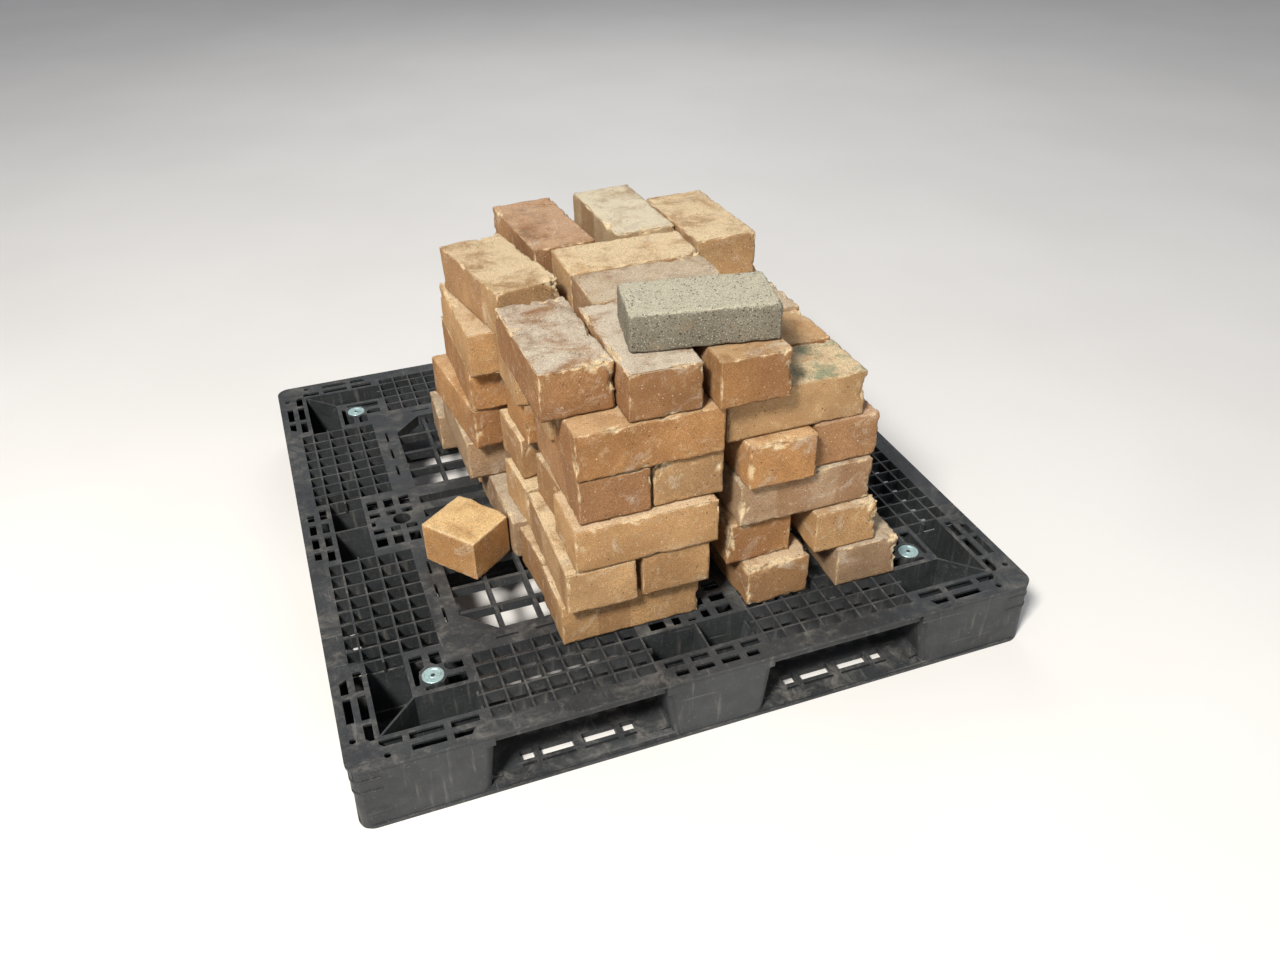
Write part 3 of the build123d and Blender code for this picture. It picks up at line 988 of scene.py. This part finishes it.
@dataclass
class BrickCourse:
    """One course of bricks of the stack.

    Attributes:
        number: The course's number, from the deck up.
        edge_radius: How far the best-kept edges are rounded.
        chip_depth: How deep the worst edges are broken away.
        edge_crumble: How far the edges are ragged.
        face_roughness: How far the faces are hollowed.
        places: Where its bricks lie, filled in by find_bricks.
    """

    number: int
    edge_radius: float = 0.0020
    chip_depth: float = 0.015
    edge_crumble: float = 0.0026
    face_roughness: float = 0.0012
    places: list[BrickPlace] = field(default_factory=list)

    LIKELY = (ClayTone.TAN, ClayTone.CREAM, ClayTone.ORANGE, ClayTone.TAN, ClayTone.ASH)
    REACH = 0.02

    @property
    def node(self) -> str:
        """Name of the course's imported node."""
        return f"course_{self.number}"

    def find_bricks(self) -> None:
        """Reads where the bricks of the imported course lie."""
        solid = welded_copy(self.node)
        solid.verts.index_update()
        waiting = set(solid.verts)
        while waiting:
            island = {waiting.pop()}
            edge_of_search = list(island)
            while edge_of_search:
                corner = edge_of_search.pop()
                for edge in corner.link_edges:
                    other = edge.other_vert(corner)
                    if other in waiting:
                        waiting.discard(other)
                        island.add(other)
                        edge_of_search.append(other)
            ordered = sorted(island, key=lambda corner: corner.index)
            self.places.append(self._measure([corner.co.copy() for corner in ordered]))
        solid.free()
        self.places.sort(key=lambda brick: (round(brick.centre.y, 3), round(brick.centre.x, 3)))

    @staticmethod
    def _measure(corners: list[Vector]) -> BrickPlace:
        """Works out a brick's place from its eight corners.

        Args:
            corners: The corners, in an order that is the same in every run.

        Returns:
            The brick's place.
        """
        centre = sum(corners, Vector()) / len(corners)
        low = min(corner.z for corner in corners)
        base = [corner for corner in corners if corner.z < low + 0.001]
        start = base[0]
        _, length, _ = sorted((corner - start for corner in base[1:]), key=lambda span: span.length)
        return BrickPlace(centre, math.atan2(length.y, length.x))

    def _look(self, brick: BrickPlace, chance: random.Random) -> BrickLook:
        """Chooses a brick's look: the one seen in the photograph, or else a likely one.

        Args:
            brick: The brick's place.
            chance: The course's random numbers.

        Returns:
            The look.
        """
        likely = chance.choice(self.LIKELY)
        for look in KNOWN_LOOKS:
            offsets = (look.x - brick.centre.x, look.y - brick.centre.y)
            if look.course == self.number and all(abs(offset) < self.REACH for offset in offsets):
                return look
        return BrickLook(self.number, brick.centre.x, brick.centre.y, likely)

    def _points(self) -> bpy.types.Mesh:
        """Makes a mesh with one point for each brick, and the brick's values on it.

        Returns:
            The mesh.
        """
        chance = random.Random(100 + self.number)
        mesh = bpy.data.meshes.new(f"{self.node}_points")
        mesh.from_pydata([brick.centre for brick in self.places], [], [])
        turns, seeds, bodies, tops_with_painted_highlight, lichens, stains = [], [], [], [], [], []
        for brick in self.places:
            look = self._look(brick, chance)
            shade = 1.0 + chance.uniform(-0.08, 0.08)
            turns.append(brick.turn)
            seeds.extend(chance.uniform(0.0, 40.0) for _ in range(3))
            bodies.extend(rgba(tuple(shade * part for part in look.tone.body)))
            # The top colour carries a painted sunlit highlight as well as weathering.
            tops_with_painted_highlight.extend(rgba(tuple(shade * part for part in look.tone.top)))
            lichens.append(look.moss)
            stains.append(look.stain)
        store(mesh, "turn", turns)
        store(mesh, "brick_seed", seeds)
        store(mesh, "body_colour", bodies)
        store(mesh, "top_colour_with_painted_highlight", tops_with_painted_highlight)
        store(mesh, "moss", lichens)
        store(mesh, "stain", stains)
        return mesh

    def build(self, nodes: BrickNodes) -> bpy.types.Object:
        """Builds the course.

        Args:
            nodes: The tree that makes bricks of points.

        Returns:
            The finished object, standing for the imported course.
        """
        self.find_bricks()
        made = scene_object(f"bricks_{self.number}", self._points())
        modifier = made.modifiers.new("bricks", "NODES")
        modifier.node_group = nodes.tree
        for name, value in (
            ("Edge Radius", self.edge_radius),
            ("Chip Depth", self.chip_depth),
            ("Edge Crumble", self.edge_crumble),
            ("Face Roughness", self.face_roughness),
        ):
            modifier[nodes.sockets[name]] = value
        bake_modifiers(made)
        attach(made, BODY)
        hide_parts(self.node)
        log.info("course %d: %d bricks, %d faces", self.number, len(self.places), len(made.data.polygons))
        return made


@dataclass
class RoughBlock:
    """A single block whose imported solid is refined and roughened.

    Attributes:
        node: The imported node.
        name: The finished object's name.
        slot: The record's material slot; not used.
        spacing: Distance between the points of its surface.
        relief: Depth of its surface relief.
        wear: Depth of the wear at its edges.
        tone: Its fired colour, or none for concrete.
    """

    node: str
    name: str
    slot: str
    spacing: float = 0.003
    relief: float = 0.0012
    wear: float = 0.0022
    tone: ClayTone | None = None

    SEED = (11.0, 6.0, 27.0)
    FLATNESS = 0.02
    COARSE = 28.0
    FINE = 210.0
    CHIPS = 45.0

    def build(self, material: bpy.types.Material) -> bpy.types.Object:
        """Builds the block.

        Args:
            material: Its finish.

        Returns:
            The finished object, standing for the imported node.
        """
        made = flattened_object(self.node, self.name, self.FLATNESS)
        remesh = made.modifiers.new("remesh", "REMESH")
        remesh.mode = "VOXEL"
        remesh.voxel_size = self.spacing
        bake_modifiers(made)
        self._roughen(made.data)
        for polygon in made.data.polygons:
            polygon.use_smooth = True
        made.data.materials.clear()
        made.data.materials.append(material)
        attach(made, BODY)
        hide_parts(self.node)
        return made

    def _roughen(self, mesh: bpy.types.Mesh) -> None:
        """Pulls the surface in by an uneven amount, more where it bends.

        Args:
            mesh: The mesh, changed in place.
        """
        low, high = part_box(self.node)
        surface = bmesh.new()
        surface.from_mesh(mesh)
        surface.normal_update()
        bends = {}
        for corner in surface.verts:
            around = [edge.other_vert(corner).co for edge in corner.link_edges]
            middle = sum(around, Vector()) / len(around)
            bend = (corner.co - middle).dot(corner.normal) / self.spacing * 3.0
            bends[corner.index] = max(0.0, min(1.0, bend))
        for corner in surface.verts:
            place = corner.co
            coarse = noise.fractal(place * self.COARSE, 0.8, 2.0, 3) * 0.5 + 0.5
            fine = noise.fractal(place * self.FINE, 0.6, 2.0, 3) * 0.5 + 0.5
            chip = max(0.0, noise.noise(place * self.CHIPS) + 0.45)
            inward = self.relief * (0.5 * coarse + 0.7 * fine) + self.wear * bends[corner.index] * chip
            corner.co = place - corner.normal * max(0.0, inward)
        for corner in surface.verts:
            for axis in range(3):
                corner.co[axis] = min(max(corner.co[axis], low[axis]), high[axis])
        surface.to_mesh(mesh)
        surface.free()
        self._paint(mesh, bends)

    def _paint(self, mesh: bpy.types.Mesh, bends: dict[int, float]) -> None:
        """Stores the values that the clay finish reads.

        Args:
            mesh: The mesh.
            bends: How sharply the surface bends at each point.
        """
        if self.tone is None:
            return
        count = len(mesh.vertices)
        store(mesh, "edge_wear", [bends[index] for index in range(count)])
        store(mesh, "body_colour", list(rgba(self.tone.body)) * count)
        store(mesh, "top_colour_with_painted_highlight", list(rgba(self.tone.top)) * count)
        store(mesh, "brick_seed", list(self.SEED) * count)
        store(mesh, "stain", [0.0] * count)
        local = [part for vertex in mesh.vertices for part in vertex.co]
        store(mesh, "local_place", local)


@dataclass
class MouldedPallet:
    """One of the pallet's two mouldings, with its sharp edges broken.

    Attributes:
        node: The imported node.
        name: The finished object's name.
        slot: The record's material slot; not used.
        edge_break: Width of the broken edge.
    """

    node: str
    name: str
    slot: str
    edge_break: float = 0.0007

    FLATNESS = 0.01
    SHARP = math.radians(30.0)

    def build(self, material: bpy.types.Material) -> bpy.types.Object:
        """Builds the moulding.

        Args:
            material: Its finish.

        Returns:
            The finished object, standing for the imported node.
        """
        made = flattened_object(self.node, self.name, self.FLATNESS)
        bevel = made.modifiers.new("edges", "BEVEL")
        bevel.width = self.edge_break
        bevel.segments = 1
        bevel.limit_method = "ANGLE"
        bevel.angle_limit = self.SHARP
        bevel.harden_normals = False
        bake_modifiers(made)
        made.data.materials.clear()
        made.data.materials.append(material)
        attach(made, BODY)
        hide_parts(self.node)
        log.info("%s: %d faces", self.name, len(made.data.polygons))
        return made


@dataclass
class FixingDisc:
    """The round zinc fixings in the deck's corners.

    Attributes:
        node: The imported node.
        radius: The disc's radius.
        bore: Radius of the small recess at its centre.
        segments: Number of steps round the disc.
    """

    node: str = "fixing_discs"
    radius: float = 0.0175
    bore: float = 0.0030
    segments: int = 64

    def build(self, material: bpy.types.Material) -> bpy.types.Object:
        """Builds the discs.

        Args:
            material: Their finish.

        Returns:
            The finished object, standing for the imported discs.
        """
        low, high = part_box(self.node)
        inset = self.radius
        discs = bmesh.new()
        for x in (low[0] + inset, high[0] - inset):
            for y in (low[1] + inset, high[1] - inset):
                self._turn(discs, x, y, low[2], high[2])
        mesh = bpy.data.meshes.new(self.node)
        bmesh.ops.recalc_face_normals(discs, faces=discs.faces)
        discs.to_mesh(mesh)
        discs.free()
        made = scene_object("zinc_discs", mesh)
        made.data.materials.append(material)
        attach(made, BODY)
        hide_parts(self.node)
        return made

    def _turn(self, discs: bmesh.types.BMesh, x: float, y: float, bottom: float, top: float) -> None:
        """Turns one disc's profile about its axis.

        Args:
            discs: The mesh it is added to.
            x: The disc's middle along X.
            y: The disc's middle along Y.
            bottom: The height of its underside.
            top: The height of its upper side.
        """
        edge = self.radius
        profile = (
            (0.0, bottom), (edge - 0.0004, bottom), (edge, bottom + 0.0004),
            (edge, top - 0.0007), (edge - 0.0007, top), (edge * 0.74, top),
            (edge * 0.70, top - 0.0006), (edge * 0.36, top - 0.0006), (edge * 0.33, top - 0.0001),
            (self.bore + 0.0006, top - 0.0001), (self.bore, top - 0.0014), (0.0, top - 0.0014),
        )
        rings = []
        for reach, height in profile:
            if reach == 0.0:
                rings.append([discs.verts.new((x, y, height))])
                continue
            ring = []
            for step in range(self.segments):
                angle = 2 * math.pi * step / self.segments
                across, along = reach * math.cos(angle), reach * math.sin(angle)
                ring.append(discs.verts.new((x + across, y + along, height)))
            rings.append(ring)
        for inner, outer in zip(rings, rings[1:]):
            for step in range(self.segments):
                after = (step + 1) % self.segments
                corners = [inner[place % len(inner)] for place in (step, after)]
                corners += [outer[place % len(outer)] for place in (after, step)]
                discs.faces.new(list(dict.fromkeys(corners)))


@dataclass(frozen=True)
class PhotoCamera:
    """The camera at the photograph's viewing angle.

    Attributes:
        place: Where it stands.
        turn: Its turn about X, Y and Z in degrees.
        lens: Its focal length in millimetres.
        sensor: The width of its sensor in millimetres.
    """

    place: Vector = Vector((-0.5113, -1.6432, 1.3058))
    turn: tuple[float, float, float] = (55.166, 0.863, -20.166)
    lens: float = 30.24
    sensor: float = 36.0

    def build(self) -> bpy.types.Object:
        """Puts the camera in the scene.

        Returns:
            The camera.
        """
        data = bpy.data.cameras.new("photo_camera")
        data.lens = self.lens
        data.sensor_width = self.sensor
        data.clip_start = 0.05
        camera = scene_object("photo_camera", data)
        camera.location = self.place
        camera.rotation_euler = [math.radians(angle) for angle in self.turn]
        bpy.context.scene.camera = camera
        return camera


@dataclass(frozen=True)
class Softbox:
    """One soft studio light that faces the stack.

    Attributes:
        name: The light's name.
        place: Where it hangs.
        side: Length of its side.
        power: Its power in watts.
        colour: Its colour.
    """

    name: str
    place: Vector
    side: float
    power: float
    colour: Colour

    AIM = Vector((0.0, 0.0, 0.25))

    def build(self) -> bpy.types.Object:
        """Hangs the light.

        Returns:
            The light.
        """
        data = bpy.data.lights.new(self.name, "AREA")
        data.size = self.side
        data.energy = self.power
        data.color = self.colour
        lamp = scene_object(self.name, data)
        lamp.location = self.place
        lamp.rotation_euler = (self.AIM - self.place).to_track_quat("-Z", "Y").to_euler()
        return lamp


class Studio:
    """The plain room: a pale floor, a sky of even light and the softboxes."""

    LIGHTS = (
        Softbox("key", Vector((-2.3, -2.6, 3.9)), 0.8, 375.0, (1.0, 0.97, 0.92)),
        Softbox("fill", Vector((3.2, -2.4, 2.6)), 2.6, 22.0, (0.93, 0.96, 1.0)),
        Softbox("back", Vector((1.2, 3.4, 2.8)), 2.2, 30.0, (0.95, 0.97, 1.0)),
    )
    FLOOR_SIDE = 14.0
    FLOOR_DROP = 0.0005
    SKY = (0.86, 0.90, 1.0)
    SKY_STRENGTH = 0.30

    def build(self) -> None:
        """Lays the floor and hangs the lights."""
        reach = self.FLOOR_SIDE / 2
        mesh = bpy.data.meshes.new("floor")
        corners = [(-reach, -reach), (reach, -reach), (reach, reach), (-reach, reach)]
        mesh.from_pydata([(x, y, -self.FLOOR_DROP) for x, y in corners], [], [(0, 1, 2, 3)])
        floor = scene_object("floor", mesh)
        floor.data.materials.append(StudioPaper("studio_paper").build())
        for light in self.LIGHTS:
            light.build()
        world = bpy.data.worlds.new("studio")
        world.use_nodes = True
        sky = world.node_tree.nodes["Background"]
        sky.inputs["Color"].default_value = rgba(self.SKY)
        sky.inputs["Strength"].default_value = self.SKY_STRENGTH
        bpy.context.scene.world = world
        bpy.context.scene.view_settings.view_transform = "Standard"


def main() -> None:
    """Builds the whole scene, piece by piece."""
    logging.basicConfig(level=logging.INFO, format="%(message)s")
    PhotoCamera().build()
    Studio().build()

    deck_finish = WeatheredPlastic("deck_plastic_worn").build()
    MouldedPallet("pallet_deck", "deck_moulding", "deck_plastic").build(deck_finish)
    base_finish = WeatheredPlastic("base_plastic_worn", dust_amount=0.55).build()
    MouldedPallet("pallet_base", "base_moulding", "base_plastic").build(base_finish)
    FixingDisc().build(DullZinc("zinc_dull").build())

    clay = FiredClay("clay_fired").build()
    nodes = BrickNodes(clay, BRICK_SIZE)
    for number in COURSES:
        BrickCourse(number).build(nodes)
    golden = ClayTone.GOLDEN
    broken = RoughBlock("half_brick", "broken_brick", "clay", relief=0.0009, wear=0.0012, tone=golden)
    broken.build(clay)
    grey = RoughBlock("concrete_brick", "grey_brick", "concrete", 0.0026, relief=0.0021, wear=0.0052)
    grey.build(CastConcrete("concrete_cast").build())


if __name__ == "__main__":
    main()
